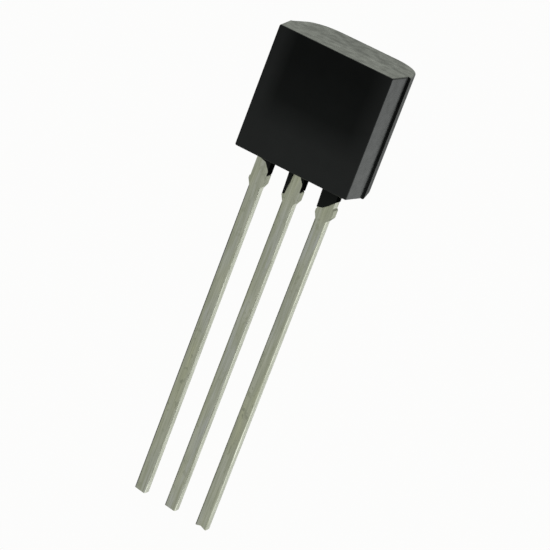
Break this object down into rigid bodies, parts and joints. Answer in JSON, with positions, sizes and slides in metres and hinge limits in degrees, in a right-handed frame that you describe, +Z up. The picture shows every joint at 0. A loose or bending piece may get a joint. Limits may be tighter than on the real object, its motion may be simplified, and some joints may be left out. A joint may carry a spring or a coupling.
{
  "type": "transistor",
  "caption": "Small through-hole transistor: black moulded resin case with a flat front and a rounded back, on a row of straight tinned leads.",
  "frame": {"origin": "on the middle lead's centre line, level with the underside of the case", "axes": "+Z up, away from the board and opposite to the leads; the flat front faces -Y; +X runs along the row of leads from lead_1 to lead_3"},
  "size_m": [0.0046, 0.0027, 0.0169],
  "materials": {
    "resin": "black moulded epoxy resin, fine satin grain, slightly polished on the front",
    "tinned_metal": "stamped copper alloy, tin plated, dulled to a grey-green, fine lengthwise streaks",
    "silicon": "polished silicon",
    "solder": "dull solder",
    "bond_wire": "drawn gold wire"
  },
  "bodies": {
    "root": {"case": "resin", "lead_1": "tinned_metal", "lead_2": "tinned_metal", "lead_3": "tinned_metal", "silicon_die": "silicon", "die_attach": "solder", "bond_wire_left": "bond_wire", "bond_wire_right": "bond_wire"}
  },
  "joints": []
}
